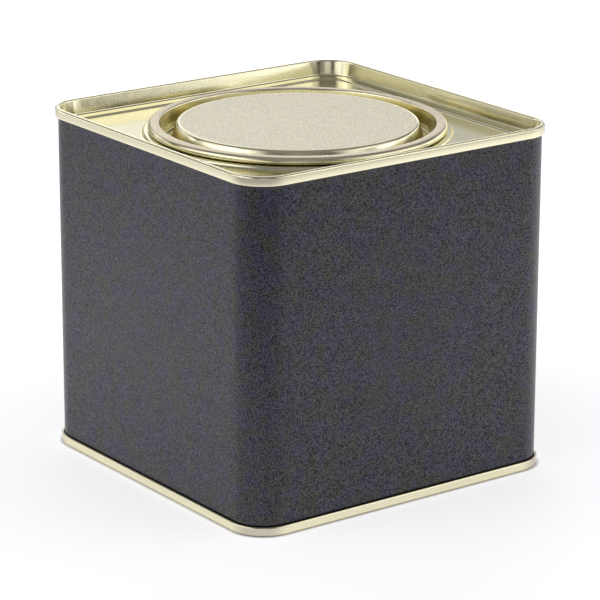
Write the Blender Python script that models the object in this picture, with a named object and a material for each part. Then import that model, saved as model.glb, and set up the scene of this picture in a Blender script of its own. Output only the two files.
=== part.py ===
"""Plug-top can: a nearly cubic tin with double-seamed ends and a round plug lid pressed into its top ring.

Metres, +Z up. The origin is the middle of the foot that the can stands on, and the can is upright.
Every metal piece is one bent sheet: its middle line is drawn as straight runs with rounded bends,
carried round the can's outline or spun round the plug's axis, and then given the sheet's thickness.
"""
from math import acos, ceil, pi, radians, tan

import bmesh
import bpy
from mathutils import Matrix, Vector
from mathutils.geometry import interpolate_bezier

# Body
BODY_WIDTH = 0.1000          # outside, from flat to flat
CAN_HEIGHT = 0.0975          # from the foot of the bottom seam to the crown of the top seam
CORNER_RADIUS = 0.0095       # outside, of the four upright corners
SHEET = 0.00022              # tinplate, the same for all metal pieces

# Double seam, the same at both ends
SEAM_HEIGHT = 0.00265        # crown to lower edge
SEAM_PLAY = 0.00006          # between one folded layer and the next
CROWN_BEND = 0.00036
COMPOUND_HEIGHT = 0.00035    # sealing compound under the crown
BODY_HOOK_DROP = 0.00158     # from the top of the body's fold to the end of its hook
END_HOOK_RISE = 0.00150      # from the bottom of the end's fold to the end of its hook

# Sunk part of both ends
CHUCK_DEPTH = 0.00440        # crown to ledge
CHUCK_LEAN = 0.00040         # how far the sunk wall leans in on its way down
CHUCK_BEND = 0.00150
LEDGE_INSET = 0.00440        # body wall to the inner edge of the ledge
STEP_DROP = 0.00030          # ledge to panel
STEP_RUN = 0.00030
STEP_BEND = 0.00022
PANEL_INSET = 0.00560        # body wall to where the plain panel begins

# Round part of the top ring: a raised seat, and the throat inside it
RING_MARGIN = 0.00150        # plain panel left between its edge and the round part
SEAT_MARGIN = 0.00060        # from the round part's edge to the foot of the seat
SEAT_RUN = 0.00050           # how far the seat's side leans in on its way up
SEAT_RISE = 0.00068          # panel to seat
SEAT_WIDTH = 0.00350         # throat to the top of the seat's side
SEAT_BEND = 0.00040
THROAT_BEND = 0.00050
THROAT_DEPTH = 0.00660       # seat to the bottom of the hem
HEM_WIDTH = 0.00100
HEM_RISE = 0.00160

# Plug lid
PLUG_PLAY = 0.00030          # beside the throat, and under the rolled rim
RIM_OVERHANG = 0.00275       # throat to the outside of the rolled rim
RIM_HEIGHT = 0.00184
RIM_INNER_BEND = 0.00036
RIM_OUTER_BEND = 0.00080
RIM_FOOT_BEND = 0.00070
RIM_CURL_BEND = 0.00026
RIM_CURL_RISE = 0.00080      # of the sheet's end, turned up inside the rolled rim
RIM_CURL_GAP = 0.00034       # between the plug's wall and the turned-up end
MOAT_DEPTH = 0.00600         # rim to the floor of the round channel
MOAT_BEND = 0.00080
MOAT_WIDTH = 0.00450         # between the plug's wall and its raised middle, outside to outside
DISC_RISE = 0.00005          # of the middle over the rim
DISC_BEND = 0.00070

# Side weld
WELD_WIDTH = 0.00090
WELD_PROUD = 0.00010         # outside the body wall and inside it
WELD_END_GAP = 0.00040       # from each seam

# Facets
CORNER_STEPS = 6             # of each upright corner
ROUND_STEPS = 48             # of the plug and its throat
BEND_ERROR = 0.00005         # most that a bend's facets leave the true arc
SMALLEST = 0.000001          # points closer than this are one point
SHARP_ANGLE = radians(40)

# Worked out
HALF_WIDTH = BODY_WIDTH / 2
CORNER_CENTRE = HALF_WIDTH - CORNER_RADIUS
HALF_SHEET = SHEET / 2
LAYER = SHEET + SEAM_PLAY                  # from one folded layer to the next
BODY_LINE = -HALF_SHEET                    # middle of the body wall, out from its outer face
CHUCK_LINE = BODY_LINE - LAYER
END_HOOK_LINE = BODY_LINE + LAYER
BODY_HOOK_LINE = BODY_LINE + 2 * LAYER
SEAMING_LINE = BODY_LINE + 3 * LAYER
COMPOUND_DEPTH = SHEET + SEAM_PLAY         # crown to the top of the compound
FLANGE_DEPTH = COMPOUND_DEPTH + COMPOUND_HEIGHT + SEAM_PLAY + HALF_SHEET
PANEL_DEPTH = CHUCK_DEPTH + STEP_DROP      # crown to the face of the panel
PANEL_HEIGHT = CAN_HEIGHT - PANEL_DEPTH    # of the top ring's upper face
SEAT_HEIGHT = PANEL_HEIGHT + SEAT_RISE
RING_RADIUS = HALF_WIDTH - PANEL_INSET - RING_MARGIN
SEAT_RADIUS = RING_RADIUS - SEAT_MARGIN - SEAT_RUN
THROAT_RADIUS = SEAT_RADIUS - SEAT_WIDTH
RIM_RADIUS = THROAT_RADIUS + RIM_OVERHANG
DISC_RADIUS = THROAT_RADIUS - PLUG_PLAY - MOAT_WIDTH

GOLD = ((0.80, 0.70, 0.46), 0.22, 1.0)
MATTE_GOLD = ((0.72, 0.66, 0.52), 0.42, 1.0)
CHARCOAL = ((0.075, 0.072, 0.085), 0.48, 0.0)
COMPOUND_GREY = ((0.46, 0.44, 0.40), 0.85, 0.0)


def clear_scene():
    for thing in list(bpy.data.objects):
        bpy.data.objects.remove(thing, do_unlink=True)


def make_material(name, finish):
    colour, roughness, metallic = finish
    material = bpy.data.materials.new(name)
    material.use_nodes = True
    shader = material.node_tree.nodes["Principled BSDF"]
    shader.inputs["Base Color"].default_value = (*colour, 1)
    shader.inputs["Roughness"].default_value = roughness
    shader.inputs["Metallic"].default_value = metallic
    material.diffuse_color = (*colour, 1)
    return material


def bent_line(corners):
    """Middle line of a bent sheet in the XZ plane, through corners given as (out, up, bend radius)."""
    places = [Vector((out, 0, up)) for out, up, bend in corners]
    line = [places[0]]
    for before, here, after, (out, up, bend) in zip(places, places[1:], places[2:], corners[1:]):
        into = (here - before).normalized()
        onward = (after - here).normalized()
        turn = into.angle(onward)
        reach = bend * tan(turn / 2)
        handle = bend * tan(turn / 4) * 4 / 3
        start = here - into * reach
        end = here + onward * reach
        facets = ceil(turn / (2 * acos(1 - BEND_ERROR / bend)))
        line += interpolate_bezier(start, start + into * handle, end - onward * handle, end, facets + 1)
    line.append(places[-1])
    return line


def draw_line(bm, points, closed):
    verts = [bm.verts.new(point) for point in points]
    edges = [bm.edges.new(pair) for pair in zip(verts, verts[1:])]
    if closed:
        edges.append(bm.edges.new((verts[-1], verts[0])))
    return verts, edges


def sweep_square(bm, line, closed=False):
    """Carries a line, given outward from the body's outer face, round the can's rounded-square outline."""
    to_side = Vector((HALF_WIDTH, -CORNER_CENTRE, 0))
    verts, edges = draw_line(bm, [to_side + point for point in line], closed)
    for side in range(4):
        facing = Matrix.Rotation(side * pi / 2, 3, "Z")
        grown = bmesh.ops.extrude_edge_only(bm, edges=edges)["geom"]
        verts = [item for item in grown if isinstance(item, bmesh.types.BMVert)]
        moved = set(verts)
        edges = [item for item in grown if isinstance(item, bmesh.types.BMEdge) and moved.issuperset(item.verts)]
        bmesh.ops.translate(bm, verts=verts, vec=facing @ Vector((0, 2 * CORNER_CENTRE, 0)))
        corner = facing @ Vector((CORNER_CENTRE, CORNER_CENTRE, 0))
        turned = bmesh.ops.spin(bm, geom=verts + edges, cent=corner, axis=(0, 0, 1),
                                angle=pi / 2, steps=CORNER_STEPS)["geom_last"]
        edges = [item for item in turned if isinstance(item, bmesh.types.BMEdge)]
    bmesh.ops.remove_doubles(bm, verts=bm.verts, dist=SMALLEST)


def spin_round(bm, line):
    """Turns a line, given outward from the plug's axis, once round that axis."""
    verts, edges = draw_line(bm, line, False)
    bmesh.ops.spin(bm, geom=verts + edges, cent=(0, 0, 0), axis=(0, 0, 1),
                   angle=2 * pi, steps=ROUND_STEPS, use_merge=True)


def open_edges(bm, height):
    """Edges of the sheet's openings that lie at one height."""
    return [edge for edge in bm.edges
            if edge.is_boundary and all(abs(vert.co.z - height) < SMALLEST for vert in edge.verts)]


def make_piece(bm, name, material, root):
    bmesh.ops.recalc_face_normals(bm, faces=bm.faces)
    mesh = bpy.data.meshes.new(name)
    bm.to_mesh(mesh)
    bm.free()
    mesh.shade_smooth()
    mesh.set_sharp_from_angle(angle=SHARP_ANGLE)
    mesh.materials.append(material)
    piece = bpy.data.objects.new(name, mesh)
    bpy.context.collection.objects.link(piece)
    piece.parent = root
    return piece


def thicken(piece):
    """Gives a sheet's middle face the sheet's thickness, half to each side."""
    solidify = piece.modifiers.new("sheet", "SOLIDIFY")
    solidify.thickness = SHEET
    solidify.offset = 0
    solidify.use_even_offset = True
    solidify.use_quality_normals = True


def end_corners():
    """An end's sheet as (out from the body, depth from the crown, bend), from its hook to its panel."""
    fold_depth = SEAM_HEIGHT - HALF_SHEET
    ledge_depth = CHUCK_DEPTH + HALF_SHEET
    panel_depth = PANEL_DEPTH + HALF_SHEET
    return [
        (END_HOOK_LINE, SEAM_HEIGHT - END_HOOK_RISE, 0),
        (END_HOOK_LINE, fold_depth, LAYER),
        (SEAMING_LINE, fold_depth, LAYER),
        (SEAMING_LINE, HALF_SHEET, CROWN_BEND),
        (CHUCK_LINE, HALF_SHEET, CROWN_BEND),
        (CHUCK_LINE - CHUCK_LEAN, ledge_depth, CHUCK_BEND),
        (-LEDGE_INSET, ledge_depth, STEP_BEND),
        (-LEDGE_INSET - STEP_RUN, panel_depth, STEP_BEND),
        (-PANEL_INSET, panel_depth, 0),
    ]


def compound_corners():
    """Section of the compound under the crown, open along its flat side."""
    inner = CHUCK_LINE + HALF_SHEET + SEAM_PLAY
    outer = SEAMING_LINE - HALF_SHEET - SEAM_PLAY
    bend = CROWN_BEND - HALF_SHEET - SEAM_PLAY
    bottom = COMPOUND_DEPTH + COMPOUND_HEIGHT
    return [(inner, bottom, 0), (inner, COMPOUND_DEPTH, bend), (outer, COMPOUND_DEPTH, bend), (outer, bottom, 0)]


def from_top(corners):
    return [(out, CAN_HEIGHT - depth, bend) for out, depth, bend in corners]


def make_side_weld(root):
    """Lap of the welded side seam, up the middle of the back wall between the double seams."""
    length = CAN_HEIGHT - 2 * (SEAM_HEIGHT + WELD_END_GAP)
    bm = bmesh.new()
    bmesh.ops.create_cube(bm, size=1)
    bmesh.ops.scale(bm, verts=bm.verts, vec=(WELD_WIDTH, SHEET + 2 * WELD_PROUD, length))
    bmesh.ops.translate(bm, verts=bm.verts, vec=(0, HALF_WIDTH + BODY_LINE, CAN_HEIGHT / 2))
    weld = make_piece(bm, "side_weld", None, root)
    weld.hide_render = True
    weld.display_type = "WIRE"
    return weld


def make_body(root):
    """The wall, folded over outward at both ends into the hooks that the ends' hooks hold."""
    hook = [
        (BODY_HOOK_LINE, FLANGE_DEPTH - HALF_SHEET + BODY_HOOK_DROP, 0),
        (BODY_HOOK_LINE, FLANGE_DEPTH, LAYER),
        (BODY_LINE, FLANGE_DEPTH, LAYER),
    ]
    bm = bmesh.new()
    sweep_square(bm, bent_line(from_top(hook) + hook[::-1]))
    body = make_piece(bm, "body_shell", make_material("charcoal_enamel", CHARCOAL), root)
    thicken(body)
    union = body.modifiers.new("side weld", "BOOLEAN")
    union.operation = "UNION"
    union.solver = "EXACT"
    union.object = make_side_weld(root)


def make_bottom(gold, root):
    bm = bmesh.new()
    sweep_square(bm, bent_line(end_corners()))
    bmesh.ops.edgeloop_fill(bm, edges=open_edges(bm, PANEL_DEPTH + HALF_SHEET))
    thicken(make_piece(bm, "bottom_end", gold, root))


def make_top_ring(gold, root):
    """The top end: seam, sunk wall, ledge and panel, then the raised seat and the throat that take the plug."""
    panel = PANEL_HEIGHT - HALF_SHEET
    seat = SEAT_HEIGHT - HALF_SHEET
    wall = THROAT_RADIUS + HALF_SHEET
    hem = SEAT_HEIGHT - THROAT_DEPTH + HALF_SHEET
    throat = [
        (RING_RADIUS, panel, 0),
        (SEAT_RADIUS + SEAT_RUN, panel, SEAT_BEND),
        (SEAT_RADIUS, seat, SEAT_BEND),
        (wall, seat, THROAT_BEND),
        (wall, hem, HEM_WIDTH / 2),
        (wall + HEM_WIDTH, hem, HEM_WIDTH / 2),
        (wall + HEM_WIDTH, hem + HEM_RISE, 0),
    ]
    bm = bmesh.new()
    sweep_square(bm, bent_line(from_top(end_corners())))
    spin_round(bm, bent_line(throat))
    bmesh.ops.triangle_fill(bm, edges=open_edges(bm, panel), use_beauty=True)
    thicken(make_piece(bm, "top_ring", gold, root))


def make_plug(gold, root):
    """The plug lid: raised middle, round channel, and a rolled rim that a lever gets under.

    Its origin is on its axis, at the height of the seat that its rim comes down on.
    """
    wall = THROAT_RADIUS - PLUG_PLAY - HALF_SHEET
    rim_top = PLUG_PLAY + RIM_HEIGHT - HALF_SHEET
    rim_foot = PLUG_PLAY + HALF_SHEET
    rim_side = RIM_RADIUS - HALF_SHEET
    floor = PLUG_PLAY + RIM_HEIGHT - MOAT_DEPTH - HALF_SHEET
    disc_side = DISC_RADIUS - HALF_SHEET
    disc = rim_top + DISC_RISE
    curl = wall + SHEET + RIM_CURL_GAP
    profile = [
        (disc_side - 2 * DISC_BEND, disc, 0),
        (disc_side, disc, DISC_BEND),
        (disc_side, floor, MOAT_BEND),
        (wall, floor, MOAT_BEND),
        (wall, rim_top, RIM_INNER_BEND),
        (rim_side, rim_top, RIM_OUTER_BEND),
        (rim_side, rim_foot, RIM_FOOT_BEND),
        (curl, rim_foot, RIM_CURL_BEND),
        (curl, rim_foot + RIM_CURL_RISE, 0),
    ]
    bm = bmesh.new()
    spin_round(bm, bent_line(profile))
    bmesh.ops.edgeloop_fill(bm, edges=open_edges(bm, disc))
    plug = make_piece(bm, "plug_lid", gold, root)
    thicken(plug)
    plug.location.z = SEAT_HEIGHT


def make_compound(name, corners, grey, root):
    bm = bmesh.new()
    sweep_square(bm, bent_line(corners), closed=True)
    make_piece(bm, name, grey, root)


def make_can():
    root = bpy.data.objects.new("plug_top_can", None)
    bpy.context.collection.objects.link(root)
    gold = make_material("gold_lacquer", GOLD)
    grey = make_material("seam_compound", COMPOUND_GREY)
    make_body(root)
    make_bottom(gold, root)
    make_top_ring(gold, root)
    make_plug(make_material("matte_gold_lacquer", MATTE_GOLD), root)
    make_compound("top_seam_compound", from_top(compound_corners()), grey, root)
    make_compound("bottom_seam_compound", compound_corners(), grey, root)


clear_scene()
make_can()
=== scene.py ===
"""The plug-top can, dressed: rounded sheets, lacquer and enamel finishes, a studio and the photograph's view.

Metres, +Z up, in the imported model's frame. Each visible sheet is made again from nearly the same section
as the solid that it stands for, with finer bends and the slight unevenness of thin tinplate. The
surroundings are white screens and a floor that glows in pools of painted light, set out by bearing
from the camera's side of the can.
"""
from math import acos, atan2, ceil, copysign, cos, pi, radians, sin, tan

import bmesh
import bpy
from mathutils import Matrix, Vector, noise
from mathutils.geometry import interpolate_bezier


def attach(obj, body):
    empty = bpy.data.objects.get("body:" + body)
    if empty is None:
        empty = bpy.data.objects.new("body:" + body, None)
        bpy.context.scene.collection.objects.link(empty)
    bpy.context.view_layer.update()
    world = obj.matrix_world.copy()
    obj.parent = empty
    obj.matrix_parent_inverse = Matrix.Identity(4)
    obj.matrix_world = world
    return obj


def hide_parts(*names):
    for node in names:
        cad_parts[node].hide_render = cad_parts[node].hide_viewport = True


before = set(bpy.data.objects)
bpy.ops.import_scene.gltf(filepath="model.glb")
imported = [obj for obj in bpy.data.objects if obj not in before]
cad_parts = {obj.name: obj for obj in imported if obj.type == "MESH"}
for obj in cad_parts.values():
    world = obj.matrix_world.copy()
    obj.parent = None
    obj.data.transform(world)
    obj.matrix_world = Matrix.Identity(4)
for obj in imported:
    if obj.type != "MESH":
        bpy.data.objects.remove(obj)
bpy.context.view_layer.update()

# The can's sizes. Those of its solids, but for finer bends, a steeper seat side, panels 0.1 mm lower,
# a rim that reaches 0.16 mm further down, and a raised middle whose side slants outward.
BODY_WIDTH = 0.1000
CAN_HEIGHT = 0.0975
CORNER_RADIUS = 0.0095
SHEET = 0.00022
SEAM_HEIGHT = 0.00265
SEAM_PLAY = 0.00006
CROWN_BEND = 0.00042
COMPOUND_HEIGHT = 0.00035
BODY_HOOK_DROP = 0.00158
END_HOOK_RISE = 0.00150
CHUCK_DEPTH = 0.00440
CHUCK_LEAN = 0.00040
CHUCK_BEND = 0.00055
LEDGE_INSET = 0.00440
STEP_DROP = 0.00040
STEP_RUN = 0.00030
STEP_BEND = 0.00022
PANEL_INSET = 0.00560
THROAT_RADIUS = 0.03830
THROAT_BEND = 0.00050
THROAT_DEPTH = 0.00660
HEM_WIDTH = 0.00100
HEM_RISE = 0.00160
SEAT_RADIUS = 0.04208
SEAT_RISE = 0.00078
SEAT_RUN = 0.00022
SEAT_BEND = 0.00030
SEAT_FILLET = 0.00068
RING_RADIUS = 0.04290
PLUG_PLAY = 0.00030
RIM_RADIUS = 0.04105
RIM_HEIGHT = 0.00184
RIM_INNER_BEND = 0.00044
RIM_OUTER_BEND = 0.00115
RIM_FOOT_BEND = 0.00060
RIM_SETTLE = 0.00016
RIM_CURL_BEND = 0.00026
RIM_CURL_RISE = 0.00080
RIM_CURL_GAP = 0.00034
MOAT_DEPTH = 0.00600
MOAT_BEND = 0.00080
DISC_RADIUS = 0.03315
DISC_RISE = 0.00005
DISC_BEND = 0.00090
DISC_LEAN = 0.00180
WELD_WIDTH = 0.00090
WELD_PROUD = 0.00010
WELD_END_GAP = 0.00040
WELD_TAPER_ROWS = 3
WELD_TIP = 0.35
WELD_BEAD = 0.12
WELD_SQUARE_ACROSS = 0.5
WELD_SQUARE_OUT = 0.6
WELD_MARGIN = 0.0022  # bare tinplate left beside the weld, to each side of its middle

HALF_WIDTH = BODY_WIDTH / 2
CORNER_CENTRE = HALF_WIDTH - CORNER_RADIUS
HALF_SHEET = SHEET / 2
LAYER = SHEET + SEAM_PLAY
BODY_LINE = -HALF_SHEET
CHUCK_LINE = BODY_LINE - LAYER
END_HOOK_LINE = BODY_LINE + LAYER
BODY_HOOK_LINE = BODY_LINE + 2 * LAYER
SEAMING_LINE = BODY_LINE + 3 * LAYER
FLANGE_DEPTH = 2 * SHEET + 2 * SEAM_PLAY + COMPOUND_HEIGHT - HALF_SHEET
PANEL_DEPTH = CHUCK_DEPTH + STEP_DROP
PANEL_HEIGHT = CAN_HEIGHT - PANEL_DEPTH
SEAT_HEIGHT = PANEL_HEIGHT + SEAT_RISE

# Facets of the dressed sheets
CORNER_STEPS = 14
SIDE_STEPS = 30
ROUND_STEPS = 192
BEND_ERROR = 0.000006
SMALLEST = 0.000001
WALL_ROWS = 26
PANEL_RINGS = 9
BOTTOM_RINGS = 27
DISC_RINGS = 18
WELD_STEPS = 16
WELD_ROWS = 160

# Unevenness of thin sheet
PANEL_BOW = 0.00012
PANEL_RIPPLE = 0.00005
RING_SAG = 0.00002
WALL_BOW = 0.00010
WALL_RIPPLE = 0.00004
WALL_RIM = 0.00390  # height of the wall that the seam holds flat
RIPPLE_SIZE = 0.030
WALL_BELLY = 0.7
WALL_FLATNESS = 2
PANEL_FLATNESS = 4
BOTTOM_SEED = 7
WALL_SEED = 3
DISC_SEED = 5


def bent_line(corners):
    """Middle line of a bent sheet as (out, up), through corners given as (out, up, bend radius)."""
    places = [Vector((out, 0, up)) for out, up, bend in corners]
    line = [places[0]]
    for before, here, after, (out, up, bend) in zip(places, places[1:], places[2:], corners[1:]):
        into = (here - before).normalized()
        onward = (after - here).normalized()
        turn = into.angle(onward)
        reach = bend * tan(turn / 2)
        handle = bend * tan(turn / 4) * 4 / 3
        start = here - into * reach
        end = here + onward * reach
        facets = max(2, ceil(turn / (2 * acos(1 - BEND_ERROR / bend))))
        line += interpolate_bezier(start, start + into * handle, end - onward * handle, end, facets + 1)
    line.append(places[-1])
    kept = [line[0]] + [here for before, here in zip(line, line[1:]) if (here - before).length > SMALLEST]
    return [(point.x, point.z) for point in kept]


def square_places():
    """(place, outward) pairs, evenly spread round the square whose corners are the can's corner centres."""
    places = []
    for side in range(4):
        facing = Matrix.Rotation(side * pi / 2, 3, "Z")
        for step in range(SIDE_STEPS):
            along = CORNER_CENTRE * (2 * step / SIDE_STEPS - 1)
            places.append((facing @ Vector((CORNER_CENTRE, along, 0)), facing @ Vector((1, 0, 0))))
        for step in range(CORNER_STEPS):
            turn = pi / 2 * step / CORNER_STEPS
            places.append((facing @ Vector((CORNER_CENTRE, CORNER_CENTRE, 0)),
                           facing @ Vector((cos(turn), sin(turn), 0))))
    return places


SQUARE = square_places()


def square_loop(out, up):
    """A loop round the can at one height, out from its wall's outer face."""
    return [place + facing * (CORNER_RADIUS + out) + Vector((0, 0, up)) for place, facing in SQUARE]


def round_loop(radius, up):
    """A circle with one point at the bearing of each point of the square's loops."""
    loop = []
    for point in square_loop(-PANEL_INSET, 0):
        bearing = atan2(point.y, point.x)
        loop.append(Vector((radius * cos(bearing), radius * sin(bearing), up)))
    return loop


def skin(bm, loops):
    """Faces from each loop of points to the next, all loops being closed rings of equal length."""
    rings = [[bm.verts.new(point) for point in loop] for loop in loops]
    for low, high in zip(rings, rings[1:]):
        for a, b, c, d in zip(low, low[1:] + low[:1], high[1:] + high[:1], high):
            bm.faces.new((a, b, c, d))
    return rings


def make_piece(bm, name, materials, body, nodes):
    """A smooth-shaded piece that rides on a body and stands for the named solids, which it hides."""
    mesh = bpy.data.meshes.new(name)
    bm.to_mesh(mesh)
    bm.free()
    mesh.shade_smooth()
    for material in materials:
        mesh.materials.append(material)
    piece = bpy.data.objects.new(name, mesh)
    bpy.context.collection.objects.link(piece)
    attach(piece, body)
    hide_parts(*nodes)
    return piece


def thicken(piece, inner_slot=0):
    """Gives a middle surface the sheet's thickness; the second side's material is inner_slot further on."""
    solidify = piece.modifiers.new("sheet", "SOLIDIFY")
    solidify.thickness = SHEET
    solidify.offset = 0
    solidify.use_even_offset = True
    solidify.use_quality_normals = True
    solidify.material_offset = inner_slot


def ripple(point, seed):
    """Smooth unevenness between 0 and 1."""
    return 0.5 + 0.5 * max(-1, min(1, noise.noise(point / RIPPLE_SIZE + Vector((seed, seed, seed)))))


def end_corners():
    """Section of an end, from its hook to its panel, as (out, depth below the can's end, bend radius)."""
    fold_depth = SEAM_HEIGHT - HALF_SHEET
    ledge_depth = CHUCK_DEPTH + HALF_SHEET
    panel_depth = PANEL_DEPTH + HALF_SHEET
    return [
        (END_HOOK_LINE, SEAM_HEIGHT - END_HOOK_RISE, 0),
        (END_HOOK_LINE, fold_depth, LAYER),
        (SEAMING_LINE, fold_depth, LAYER),
        (SEAMING_LINE, HALF_SHEET, CROWN_BEND),
        (CHUCK_LINE, HALF_SHEET, CROWN_BEND),
        (CHUCK_LINE - CHUCK_LEAN, ledge_depth, CHUCK_BEND),
        (-LEDGE_INSET, ledge_depth, STEP_BEND),
        (-LEDGE_INSET - STEP_RUN, panel_depth, STEP_BEND),
        (-PANEL_INSET, panel_depth, 0),
    ]


def bottom_bow(x, y):
    """How far the bottom's panel bows up into the can: nothing at its edges, most between them."""
    edge = HALF_WIDTH - PANEL_INSET
    hold = max(0, 1 - (max(abs(x), abs(y)) / edge) ** PANEL_FLATNESS)
    return hold * (PANEL_BOW + 2 * PANEL_RIPPLE * ripple(Vector((x, y, 0)), BOTTOM_SEED))


def wall_sag(point):
    """How far a wall leans in at a point: nothing at the corners and the seams, most between them."""
    if not WALL_RIM < point.z < CAN_HEIGHT - WALL_RIM:
        return 0
    rise = sin(pi * (point.z - WALL_RIM) / (CAN_HEIGHT - 2 * WALL_RIM)) ** WALL_BELLY
    flat = max(0, 1 - (min(abs(point.x), abs(point.y)) / CORNER_CENTRE) ** WALL_FLATNESS)
    return rise * flat * (WALL_BOW + 2 * WALL_RIPPLE * ripple(point, WALL_SEED))


def make_body(enamel, bare):
    """The wall with its hooks folded outward at both ends, enamelled outside and bare inside."""
    hook = [
        (BODY_HOOK_LINE, FLANGE_DEPTH - HALF_SHEET + BODY_HOOK_DROP, 0),
        (BODY_HOOK_LINE, FLANGE_DEPTH, LAYER),
        (BODY_LINE, FLANGE_DEPTH, LAYER),
    ]
    folded = bent_line(hook + [(BODY_LINE, CAN_HEIGHT / 2, 0)])[:-1]
    low = folded[-1][1]
    high = CAN_HEIGHT - low
    rows = [(BODY_LINE, low + (high - low) * row / WALL_ROWS) for row in range(1, WALL_ROWS)]
    line = folded + rows + [(out, CAN_HEIGHT - up) for out, up in reversed(folded)]
    loops = []
    for out, up in line:
        loop = square_loop(out, up)
        loops.append([point - facing * wall_sag(point) for point, (place, facing) in zip(loop, SQUARE)])
    bm = bmesh.new()
    skin(bm, loops)
    piece = make_piece(bm, "body_sheet", [enamel, bare], "can", ["body_shell"])
    thicken(piece, 1)


def make_weld(steel):
    """Lap of the welded side seam, up the middle of the back wall, with the slight beads of its weld."""
    low = SEAM_HEIGHT + WELD_END_GAP
    high = CAN_HEIGHT - low
    loops = []
    for row in range(WELD_ROWS + 1):
        up = low + (high - low) * row / WELD_ROWS
        end = min(row, WELD_ROWS - row) / WELD_TAPER_ROWS
        swell = min(1, max(WELD_TIP, end)) * (1 - WELD_BEAD * (row % 2))
        loop = []
        for step in range(WELD_STEPS):
            turn = 2 * pi * step / WELD_STEPS
            across = copysign(abs(cos(turn)) ** WELD_SQUARE_ACROSS, cos(turn)) * WELD_WIDTH / 2 * swell
            out = copysign(abs(sin(turn)) ** WELD_SQUARE_OUT, sin(turn)) * (HALF_SHEET + WELD_PROUD * swell)
            wall = HALF_WIDTH + BODY_LINE - wall_sag(Vector((across, HALF_WIDTH, up)))
            loop.append(Vector((across, wall + out, up)))
        loops.append(loop)
    bm = bmesh.new()
    rings = skin(bm, loops)
    bm.faces.new(rings[0][::-1])
    bm.faces.new(rings[-1])
    make_piece(bm, "side_weld_bead", [steel], "can", ["body_shell"])


def make_bottom(gold):
    """The bottom end: seam, sunk wall, ledge and panel."""
    loops = [square_loop(out, up) for out, up in bent_line(end_corners())]
    panel = PANEL_DEPTH + HALF_SHEET
    start = loops[-1]
    for ring in range(1, BOTTOM_RINGS):
        share = 1 - ring / BOTTOM_RINGS
        loop = [Vector((point.x * share, point.y * share, panel)) for point in start]
        loops.append([point + Vector((0, 0, bottom_bow(point.x, point.y))) for point in loop])
    bm = bmesh.new()
    rings = skin(bm, loops)
    centre = bm.verts.new((0, 0, panel + bottom_bow(0, 0)))
    last = rings[-1]
    for a, b in zip(last, last[1:] + last[:1]):
        bm.faces.new((a, b, centre))
    thicken(make_piece(bm, "bottom_sheet", [gold], "can", ["bottom_end"]))


def make_top_ring(gold):
    """The top end: seam, sunk wall, ledge, panel, raised seat, and the throat with its rolled hem."""
    panel = PANEL_HEIGHT - HALF_SHEET
    seat = SEAT_HEIGHT - HALF_SHEET
    wall = THROAT_RADIUS + HALF_SHEET
    hem = SEAT_HEIGHT - THROAT_DEPTH + HALF_SHEET
    throat = [
        (RING_RADIUS, panel, 0),
        (SEAT_RADIUS + SEAT_RUN, panel, SEAT_FILLET),
        (SEAT_RADIUS, seat, SEAT_BEND),
        (wall, seat, THROAT_BEND),
        (wall, hem, HEM_WIDTH / 2),
        (wall + HEM_WIDTH, hem, HEM_WIDTH / 2),
        (wall + HEM_WIDTH, hem + HEM_RISE, 0),
    ]
    loops = [square_loop(out, CAN_HEIGHT - depth) for out, depth in bent_line(end_corners())]
    outer = loops[-1]
    inner = round_loop(RING_RADIUS, panel)
    for ring in range(1, PANEL_RINGS):
        share = ring / PANEL_RINGS
        loop = []
        for a, b in zip(outer, inner):
            hold = sin(pi * share) * min(1, (a - b).length / RIPPLE_SIZE)
            loop.append(a.lerp(b, share) - Vector((0, 0, RING_SAG * hold)))
        loops.append(loop)
    loops += [round_loop(out, up) for out, up in bent_line(throat)]
    bm = bmesh.new()
    skin(bm, loops)
    thicken(make_piece(bm, "top_ring_sheet", [gold], "can", ["top_ring"]))


def make_plug(lacquer):
    """The lever lid: raised middle, channel, wall, and the rolled rim with its edge turned up inside."""
    wall = THROAT_RADIUS - PLUG_PLAY - HALF_SHEET
    rim_top = PLUG_PLAY + RIM_HEIGHT - HALF_SHEET
    rim_foot = PLUG_PLAY - RIM_SETTLE + HALF_SHEET
    rim_side = RIM_RADIUS - HALF_SHEET
    floor = PLUG_PLAY + RIM_HEIGHT - MOAT_DEPTH - HALF_SHEET
    disc_side = DISC_RADIUS - HALF_SHEET
    disc = rim_top + DISC_RISE
    curl = wall + SHEET + RIM_CURL_GAP
    profile = [
        (disc_side - 2 * DISC_BEND, disc, 0),
        (disc_side, disc, DISC_BEND),
        (disc_side + DISC_LEAN, floor, MOAT_BEND),
        (wall, floor, MOAT_BEND),
        (wall, rim_top, RIM_INNER_BEND),
        (rim_side, rim_top, RIM_OUTER_BEND),
        (rim_side, rim_foot, RIM_FOOT_BEND),
        (curl, rim_foot, RIM_CURL_BEND),
        (curl, rim_foot + RIM_CURL_RISE, 0),
    ]
    line = bent_line(profile)
    reach = line[0][0]
    middle = [(reach * ring / DISC_RINGS, disc) for ring in range(1, DISC_RINGS)]
    turns = [2 * pi * step / ROUND_STEPS for step in range(ROUND_STEPS)]
    loops = []
    for radius, up in middle + line:
        loops.append([Vector((radius * cos(turn), radius * sin(turn), SEAT_HEIGHT + up)) for turn in turns])
    bm = bmesh.new()
    rings = skin(bm, loops)
    centre = bm.verts.new((0, 0, SEAT_HEIGHT + disc))
    for a, b in zip(rings[0], rings[0][1:] + rings[0][:1]):
        bm.faces.new((b, a, centre))
    for vert in bm.verts:
        radius = vert.co.xy.length
        if radius < reach:
            hold = 1 - (radius / reach) ** PANEL_FLATNESS
            vert.co.z -= hold * PANEL_RIPPLE * ripple(vert.co, DISC_SEED)
    thicken(make_piece(bm, "plug_sheet", [lacquer], "lid", ["plug_lid"]))


MAP_RANGE = ("From Min", "From Max", "To Min", "To Max")


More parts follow.
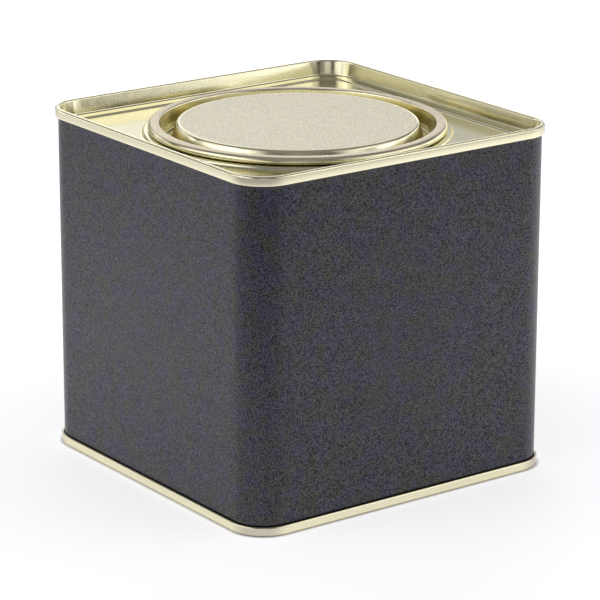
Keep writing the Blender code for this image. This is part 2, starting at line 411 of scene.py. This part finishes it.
class Finish:
    """A Principled material, with short calls for noise, ramps and bumps on object coordinates."""

    def __init__(self, name, metallic, roughness):
        self.material = bpy.data.materials.new(name)
        self.material.use_nodes = True
        self.tree = self.material.node_tree
        self.shader = self.tree.nodes["Principled BSDF"]
        self.shader.inputs["Metallic"].default_value = metallic
        self.shader.inputs["Roughness"].default_value = roughness
        self.place = self.add("ShaderNodeTexCoord").outputs["Object"]
        self.normal = None

    def add(self, kind, **values):
        node = self.tree.nodes.new(kind)
        for name, value in values.items():
            setattr(node, name, value)
        return node

    def feed(self, socket, value):
        if isinstance(value, bpy.types.NodeSocket):
            self.tree.links.new(value, socket)
        else:
            socket.default_value = value

    def stretch(self, scale):
        """Object coordinates, each times its scale."""
        node = self.add("ShaderNodeMapping")
        self.feed(node.inputs["Vector"], self.place)
        node.inputs["Scale"].default_value = scale
        return node.outputs["Vector"]

    def noise(self, size, detail, rough, place=None):
        """Noise from 0 to 1 in blotches of about this size, with finer ones in them."""
        node = self.add("ShaderNodeTexNoise")
        self.feed(node.inputs["Vector"], place or self.place)
        node.inputs["Scale"].default_value = 1 / size
        node.inputs["Detail"].default_value = detail
        node.inputs["Roughness"].default_value = rough
        return node.outputs["Fac"]

    def span(self, value, low, high, to_low=0, to_high=1):
        """The value's way from low to high, as a number from to_low to to_high."""
        node = self.add("ShaderNodeMapRange")
        self.feed(node.inputs["Value"], value)
        for name, number in zip(MAP_RANGE, (low, high, to_low, to_high)):
            node.inputs[name].default_value = number
        return node.outputs["Result"]

    def mix(self, share, first, second):
        """A colour between two."""
        node = self.add("ShaderNodeMix", data_type="RGBA")
        self.feed(node.inputs["Factor"], share)
        self.feed(node.inputs["A"], first)
        self.feed(node.inputs["B"], second)
        return node.outputs["Result"]

    def blend(self, share, first, second):
        """A number between two."""
        node = self.add("ShaderNodeMix", data_type="FLOAT")
        self.feed(node.inputs["Factor"], share)
        self.feed(node.inputs["A"], first)
        self.feed(node.inputs["B"], second)
        return node.outputs["Result"]

    def axes(self):
        node = self.add("ShaderNodeSeparateXYZ")
        self.feed(node.inputs[0], self.place)
        return node.outputs

    def radius(self):
        """Distance from the can's upright axis."""
        node = self.add("ShaderNodeVectorMath", operation="LENGTH")
        self.feed(node.inputs[0], self.stretch((1, 1, 0)))
        return node.outputs["Value"]

    def maths(self, operation, first, second):
        node = self.add("ShaderNodeMath", operation=operation)
        self.feed(node.inputs[0], first)
        self.feed(node.inputs[1], second)
        return node.outputs[0]

    def bump(self, height, distance, strength=1.0):
        node = self.add("ShaderNodeBump")
        node.inputs["Distance"].default_value = distance
        self.feed(node.inputs["Strength"], strength)
        self.feed(node.inputs["Height"], height)
        if self.normal:
            self.feed(node.inputs["Normal"], self.normal)
        self.normal = node.outputs["Normal"]
        self.feed(self.shader.inputs["Normal"], self.normal)

    def colour(self, value):
        self.feed(self.shader.inputs["Base Color"], value)

    def rough(self, value):
        self.feed(self.shader.inputs["Roughness"], value)


# Colours of the finishes and of the painted shade; pairs are the two ends of a variation
ENAMEL_PITS = ((0.003, 0.002, 0.001, 1), (0.001, 0.001, 0.012, 1))
ENAMEL_PEAKS = ((0.039, 0.034, 0.020, 1), (0.029, 0.027, 0.074, 1))
ENAMEL_SPECKS = (0.016, 0.014, 0.020, 1)
# painted shade: the enamel's colour in the crease above the foot seam
CREASE_PAINTED_SHADE = (0.002, 0.001, 0.0005, 1)
BARE_MARGIN = (0.66, 0.655, 0.64, 1)
GOLD = ((0.87, 0.83, 0.605, 1), (0.85, 0.805, 0.575, 1))
GOLD_GRAINS = (0.78, 0.735, 0.50, 1)
# painted shade: the lacquer's colour on the corners, strongest at the foot seam
GOLD_CORNER_SHADE = (0.56, 0.515, 0.405, 1)
DISC_PALE = ((1.00, 0.93, 0.81, 1), (0.985, 0.97, 0.73, 1))
DISC_GRAINS = (0.61, 0.55, 0.42, 1)
PLUG_BRIGHT = ((0.80, 0.755, 0.53, 1), (0.88, 0.835, 0.605, 1))
# painted shade: the lacquer more than 1 mm below the rim's top, in the channel and on the rim's lower side
PLUG_RECESS_SHADE = ((0.50, 0.455, 0.25, 1), (0.60, 0.55, 0.32, 1))
PLUG_SCUFFED = ((0.62, 0.54, 0.39, 1), (0.82, 0.73, 0.555, 1))
INSIDE_TIN = ((0.74, 0.74, 0.73, 1), (0.64, 0.645, 0.65, 1))
WELD_STAINS = ((0.34, 0.335, 0.33, 1), (0.56, 0.55, 0.53, 1))
COMPOUND_GREYS = ((0.46, 0.44, 0.40, 1), (0.38, 0.36, 0.33, 1))

# Sizes of the finishes' grains, clouds and stains, and how far their bumps rise
ENAMEL_GRAIN = 0.00030
ENAMEL_SPECK = 0.0015
ENAMEL_CLOUD = 0.0040
ENAMEL_RELIEF = 0.00005
GOLD_CLOUD = 0.020
GOLD_GRAIN = 0.00045
GOLD_SMEAR = 0.0020
GOLD_RELIEF = 0.000004
ROLLED_LINE = 0.0004
ROLLED_STRETCH = (0.10, 1, 1)
PLUG_GRAIN = 0.00042
PLUG_CLOUD = 0.0030
PLUG_RELIEF = 0.00003
TIN_CLOUD = 0.010
WELD_STAIN = 0.0012
WELD_RELIEF = 0.00002
COMPOUND_LUMP = 0.0020
COMPOUND_RELIEF = 0.00005

# The middle part of a noise's range, which holds nearly all of its values
MOST = (0.3, 0.7)

# Where the finishes and the painted shade change
# painted shade in the crease above the foot seam: full below the first height, none above the second
CREASE = (SEAM_HEIGHT + 0.0001, SEAM_HEIGHT + 0.0005)
MARGIN_EDGE = (WELD_MARGIN, WELD_MARGIN + 0.0001)
BACK_FACE = (HALF_WIDTH - 0.0020, HALF_WIDTH - 0.0015)
# painted shade on the corners: distances from the axis where it starts and is full, heights where it fades at
# the foot, its share higher up
CORNER_SHADE_REACH = (0.0650, 0.0672)
CORNER_SHADE_FOOT = (0.002, 0.004)
CORNER_SHADE_ABOVE = 0.35
DISC_EDGE = (DISC_RADIUS - DISC_BEND - 0.0002, DISC_RADIUS - DISC_BEND + 0.0001)
RIM_TOP = SEAT_HEIGHT + PLUG_PLAY + RIM_HEIGHT
SCUFF_REACH = (DISC_RADIUS, THROAT_RADIUS - PLUG_PLAY)
SCUFF_HEIGHT = (RIM_TOP - 0.00030, RIM_TOP - 0.00004)
# painted shade below the rim's top: full from the first height down, none from the second up
RECESS_SHADE_HEIGHT = (RIM_TOP - 0.0022, RIM_TOP - 0.0010)


def charcoal_enamel():
    """Fine-grained matte enamel, with painted shade in the crease above the foot seam; missing along the side
    weld.
    """
    finish = Finish("charcoal_enamel_dressed", 0.0, 0.45)
    grain = finish.noise(ENAMEL_GRAIN, 1.0, 0.6)
    speck = finish.noise(ENAMEL_SPECK, 2.0, 0.6)
    blue = finish.span(finish.noise(ENAMEL_CLOUD, 3.0, 0.65), 0.38, 0.62)
    pits = finish.mix(blue, *ENAMEL_PITS)
    peaks = finish.mix(blue, *ENAMEL_PEAKS)
    flecked = finish.mix(finish.span(grain, 0.42, 0.58), pits, peaks)
    even = finish.mix(finish.span(speck, *MOST, 0, 0.15), flecked, ENAMEL_SPECKS)
    x, y, z = finish.axes()
    # painted shade in the crease above the foot seam: a near-black colour and almost no sheen there
    crease = finish.span(z, *CREASE, 1, 0)
    enamel = finish.mix(crease, even, CREASE_PAINTED_SHADE)
    by_weld = finish.span(finish.maths("ABSOLUTE", x, 0), *MARGIN_EDGE, 1, 0)
    bare = finish.maths("MULTIPLY", by_weld, finish.span(y, *BACK_FACE))
    finish.colour(finish.mix(bare, enamel, BARE_MARGIN))
    finish.feed(finish.shader.inputs["Metallic"], bare)
    matte = finish.span(grain, *MOST, 0.30, 0.40)
    finish.rough(finish.blend(bare, matte, 0.30))
    finish.bump(grain, ENAMEL_RELIEF, 0.8)
    sheen = finish.span(grain, 0.40, 0.60, 0.22, 0.80)
    finish.feed(finish.shader.inputs["Specular IOR Level"], finish.blend(crease, sheen, 0.05))
    return finish.material


def gold_lacquer():
    """Clear gold lacquer over tinplate with the faint lines of rolling, and painted shade on the corners,
    most at the foot.
    """
    finish = Finish("gold_lacquer_dressed", 1.0, 0.14)
    cloud = finish.noise(GOLD_CLOUD, 2.0, 0.5)
    grain = finish.noise(GOLD_GRAIN, 2.0, 0.6)
    lines = finish.noise(ROLLED_LINE, 3.0, 0.6, finish.stretch(ROLLED_STRETCH))
    tint = finish.mix(finish.span(cloud, *MOST), *GOLD)
    lacquer = finish.mix(finish.span(grain, 0.35, 0.65, 0, 0.5), tint, GOLD_GRAINS)
    # painted shade on the corners: full at the foot seam and about a third of that higher up
    corner = finish.span(finish.radius(), *CORNER_SHADE_REACH)
    near_foot = finish.span(finish.axes()["Z"], *CORNER_SHADE_FOOT, 1, CORNER_SHADE_ABOVE)
    corner_shade = finish.maths("MULTIPLY", corner, near_foot)
    finish.colour(finish.mix(corner_shade, lacquer, GOLD_CORNER_SHADE))
    finish.rough(finish.span(finish.noise(GOLD_SMEAR, 3.0, 0.6), *MOST, 0.13, 0.18))
    finish.bump(lines, GOLD_RELIEF, 0.5)
    finish.bump(grain, GOLD_RELIEF, 0.4)
    return finish.material


def plug_gold():
    """The plug's lacquer: a pale matte middle, glossy bends, painted shade deep down, a rim scuffed on top.
    """
    finish = Finish("plug_lacquer_dressed", 1.0, 0.2)
    grain = finish.noise(PLUG_GRAIN, 2.0, 0.6)
    fleck = finish.span(grain, 0.38, 0.62)
    cloud = finish.noise(PLUG_CLOUD, 3.0, 0.6)
    radius = finish.radius()
    height = finish.axes()["Z"]
    middle = finish.span(radius, *DISC_EDGE, 1, 0)
    on_rim = finish.span(radius, *SCUFF_REACH)
    scuffed = finish.maths("MULTIPLY", on_rim, finish.span(height, *SCUFF_HEIGHT))
    # painted shade in the channel and on the rim's lower side, darker the deeper it lies
    recess_shade = finish.span(height, *RECESS_SHADE_HEIGHT, 1, 0)
    pale = finish.mix(finish.span(cloud, 0.42, 0.58), *DISC_PALE)
    matte = finish.mix(fleck, DISC_GRAINS, pale)
    pressed = finish.mix(recess_shade, finish.mix(fleck, *PLUG_BRIGHT), finish.mix(fleck, *PLUG_RECESS_SHADE))
    gloss = finish.mix(scuffed, pressed, finish.mix(fleck, *PLUG_SCUFFED))
    finish.colour(finish.mix(middle, gloss, matte))
    satin = finish.span(grain, *MOST, 0.38, 0.50)
    finish.rough(finish.blend(middle, finish.blend(scuffed, 0.17, 0.36), satin))
    uneven = finish.span(finish.maths("MAXIMUM", middle, scuffed), 0, 1, 0.06, 1)
    finish.bump(grain, PLUG_RELIEF, uneven)
    return finish.material


def bare_tin():
    """The sheet's own tin, inside the can."""
    finish = Finish("bare_tinplate", 1.0, 0.3)
    cloud = finish.noise(TIN_CLOUD, 4.0, 0.6)
    finish.colour(finish.mix(finish.span(cloud, *MOST), *INSIDE_TIN))
    finish.rough(finish.span(cloud, *MOST, 0.24, 0.36))
    return finish.material


def weld_steel():
    """The weld's own surface, greyed by its heat."""
    finish = Finish("weld_steel", 1.0, 0.4)
    stain = finish.noise(WELD_STAIN, 4.0, 0.7)
    finish.colour(finish.mix(finish.span(stain, *MOST), *WELD_STAINS))
    finish.rough(finish.span(stain, *MOST, 0.34, 0.52))
    finish.bump(stain, WELD_RELIEF, 0.6)
    return finish.material


def compound():
    """The grey sealing compound in the seams."""
    finish = Finish("seam_compound_dressed", 0.0, 0.8)
    cloud = finish.noise(COMPOUND_LUMP, 3.0, 0.6)
    finish.colour(finish.mix(finish.span(cloud, *MOST), *COMPOUND_GREYS))
    finish.bump(cloud, COMPOUND_RELIEF, 0.5)
    return finish.material


# The camera, as fitted to the photograph's outlines
VIEW_AZIMUTH = radians(-36.1632)
VIEW_ELEVATION = radians(16.9386)
VIEW_DISTANCE = 0.85687
VIEW_YAW = radians(0.0495)
VIEW_PITCH = radians(-0.3669)
VIEW_ROLL = radians(0.1264)
VIEW_LENS = 185.254
AIM = Vector((0, 0, 0.05))
SENSOR_WIDTH = 36
NEAREST = 0.01

FLOOR_RADIUS = 3.0
FLOOR_SEGMENTS = 96
FLOOR_COLOUR = (0.91, 0.905, 0.955, 1)
FLOOR_ROUGHNESS = 0.9
# painted shadow round the can's foot: the floor's glow stops short of the wall
FOOT_SHADE = (0.0006, 0.0018)  # from the wall to where the floor's light begins, and to where it is full
WHITE = (1, 1, 1, 1)

# Pools of painted light glowing in the white floor: bearing in degrees, distance, radii of even middle and
# edge, radiance
POOLS = [
    (0, 0.00, 0.15, 0.40, 0.58),
    (-107, 0.45, 0.10, 0.40, 0.39),
    (72, 0.45, 0.10, 0.40, 0.30),
    (110, 0.45, 0.10, 0.40, 0.61),
    (180, 0.45, 0.10, 0.40, 0.41),
    (180, 1.20, 0.30, 1.00, 1.30),
]

# White screens round the can: bearing, elevation, and radii of even middle and edge in degrees; radiance
SCREENS = [
    (0, 88, 12, 50, 0.25),
    (0, 34, 10, 40, 0.20),
    (-150, 32, 6, 26, 0.58),
    (-90, 32, 6, 26, 0.93),
    (-60, 32, 6, 26, 1.30),
    (60, 32, 6, 26, 0.82),
    (90, 32, 6, 26, 0.84),
    (120, 32, 6, 26, 0.31),
    (180, 32, 6, 26, 0.92),
    (-170, 14, 2, 10, 0.89),
    (-144, 10, 3, 16, 0.61),
    (-126, 10, 3, 16, 0.87),
    (-90, 10, 3, 16, 1.15),
    (-72, 10, 3, 16, 0.94),
    (-54, 10, 3, 16, 1.15),
    (-36, 10, 3, 16, 1.35),
    (0, 10, 3, 16, 0.69),
    (18, 10, 3, 16, 0.25),
    (36, 10, 3, 16, 0.06),
    (54, 10, 3, 16, 0.54),
    (90, 10, 3, 16, 1.25),
    (108, 10, 3, 16, 1.14),
    (126, 10, 3, 16, 1.08),
    (144, 10, 3, 16, 0.99),
    (162, 10, 3, 16, 0.21),
    (-104, 6, 1, 6, 1.45),
    (73, 6, 1, 6, 3.38),
    (-114, 2, 2, 10, 2.64),
    (170, 2, 2, 10, 3.04),
    (180, 2, 2, 10, 2.41),
]


def make_camera():
    """Turned from its aim by a small yaw and pitch, then rolled, as the photograph's own camera was."""
    back = Vector((sin(VIEW_AZIMUTH) * cos(VIEW_ELEVATION), -cos(VIEW_AZIMUTH) * cos(VIEW_ELEVATION),
                   sin(VIEW_ELEVATION)))
    right = (-back).cross(Vector((0, 0, 1))).normalized()
    up = right.cross(-back)
    ahead = -back * cos(VIEW_YAW) + right * sin(VIEW_YAW)
    right = ahead.cross(up).normalized()
    ahead = ahead * cos(VIEW_PITCH) + up * sin(VIEW_PITCH)
    up = right.cross(ahead)
    rolled = right * cos(VIEW_ROLL) + up * sin(VIEW_ROLL)
    up = -right * sin(VIEW_ROLL) + up * cos(VIEW_ROLL)
    camera = bpy.data.objects.new("camera", bpy.data.cameras.new("camera"))
    bpy.context.collection.objects.link(camera)
    camera.matrix_world = Matrix.Translation(AIM + back * VIEW_DISTANCE) @ Matrix(
        (rolled, up, -ahead)).transposed().to_4x4()
    camera.data.sensor_width = SENSOR_WIDTH
    camera.data.lens = VIEW_LENS
    camera.data.clip_start = NEAREST
    bpy.context.scene.camera = camera


def add_patches(tree, place, operation, patches):
    """Sum of soft round patches, given as (target, edge, core, strength) in what the operation measures."""
    total = None
    for target, edge, core, strength in patches:
        measure = tree.nodes.new("ShaderNodeVectorMath")
        measure.operation = operation
        measure.inputs[1].default_value = target
        tree.links.new(place, measure.inputs[0])
        patch = tree.nodes.new("ShaderNodeMapRange")
        patch.interpolation_type = "SMOOTHSTEP"
        for name, number in zip(MAP_RANGE, (edge, core, 0, strength)):
            patch.inputs[name].default_value = number
        tree.links.new(measure.outputs["Value"], patch.inputs["Value"])
        if total:
            joined = tree.nodes.new("ShaderNodeMath")
            tree.links.new(total, joined.inputs[0])
            tree.links.new(patch.outputs["Result"], joined.inputs[1])
            total = joined.outputs[0]
        else:
            total = patch.outputs["Result"]
    return total


def outside_can(tree, place):
    """Distance from the square of the can's corner centres, which is CORNER_RADIUS all along its wall."""
    centre = (CORNER_CENTRE, CORNER_CENTRE, 0)
    steps = [("ABSOLUTE", None), ("SUBTRACT", centre), ("MAXIMUM", (0, 0, 0)), ("LENGTH", None)]
    reached = place
    for operation, value in steps:
        node = tree.nodes.new("ShaderNodeVectorMath")
        node.operation = operation
        if value:
            node.inputs[1].default_value = value
        tree.links.new(reached, node.inputs[0])
        reached = node.outputs[0]
    return node.outputs["Value"]


def make_floor():
    """White floor glowing in pools of painted light, with none under the can's foot: a painted shadow there.
    """
    bm = bmesh.new()
    bmesh.ops.create_circle(bm, cap_ends=True, radius=FLOOR_RADIUS, segments=FLOOR_SEGMENTS)
    mesh = bpy.data.meshes.new("floor")
    bm.to_mesh(mesh)
    bm.free()
    floor = bpy.data.objects.new("floor", mesh)
    bpy.context.collection.objects.link(floor)
    material = bpy.data.materials.new("floor")
    material.use_nodes = True
    tree = material.node_tree
    shader = tree.nodes["Principled BSDF"]
    shader.inputs["Base Color"].default_value = FLOOR_COLOUR
    shader.inputs["Roughness"].default_value = FLOOR_ROUGHNESS
    shader.inputs["Emission Color"].default_value = WHITE
    patches = []
    for bearing, distance, core, edge, radiance in POOLS:
        turn = VIEW_AZIMUTH - pi / 2 + radians(bearing)
        patches.append(((distance * cos(turn), distance * sin(turn), 0), edge, core, radiance))
    place = tree.nodes.new("ShaderNodeTexCoord").outputs["Object"]
    glow = add_patches(tree, place, "DISTANCE", patches)
    # no glow under and just round the can's foot: a painted shadow
    clear = tree.nodes.new("ShaderNodeMapRange")
    clear.inputs["From Min"].default_value = CORNER_RADIUS + FOOT_SHADE[0]
    clear.inputs["From Max"].default_value = CORNER_RADIUS + FOOT_SHADE[1]
    tree.links.new(outside_can(tree, place), clear.inputs["Value"])
    lit = tree.nodes.new("ShaderNodeMath")
    lit.operation = "MULTIPLY"
    tree.links.new(glow, lit.inputs[0])
    tree.links.new(clear.outputs["Result"], lit.inputs[1])
    tree.links.new(lit.outputs[0], shader.inputs["Emission Strength"])
    mesh.materials.append(material)


def make_world():
    """Soft white screens all round: each fades from its even middle to nothing, and they add up."""
    world = bpy.data.worlds.new("studio")
    bpy.context.scene.world = world
    world.use_nodes = True
    tree = world.node_tree
    patches = []
    for bearing, elevation, core, edge, radiance in SCREENS:
        turn = VIEW_AZIMUTH - pi / 2 + radians(bearing)
        lift = radians(elevation)
        facing = (cos(turn) * cos(lift), sin(turn) * cos(lift), sin(lift))
        patches.append((facing, cos(radians(edge)), cos(radians(core)), radiance))
    place = tree.nodes.new("ShaderNodeTexCoord").outputs["Generated"]
    screens = add_patches(tree, place, "DOT_PRODUCT", patches)
    tree.links.new(screens, tree.nodes["Background"].inputs["Strength"])
    tree.nodes["Background"].inputs["Color"].default_value = WHITE


make_camera()
make_floor()
make_world()

gold = gold_lacquer()
make_body(charcoal_enamel(), bare_tin())
make_weld(weld_steel())
make_bottom(gold)
make_top_ring(gold)
make_plug(plug_gold())
grey = compound()
for name in ("top_seam_compound", "bottom_seam_compound"):
    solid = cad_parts[name]
    solid.data.materials.clear()
    solid.data.materials.append(grey)

bpy.context.scene.view_settings.view_transform = "Standard"
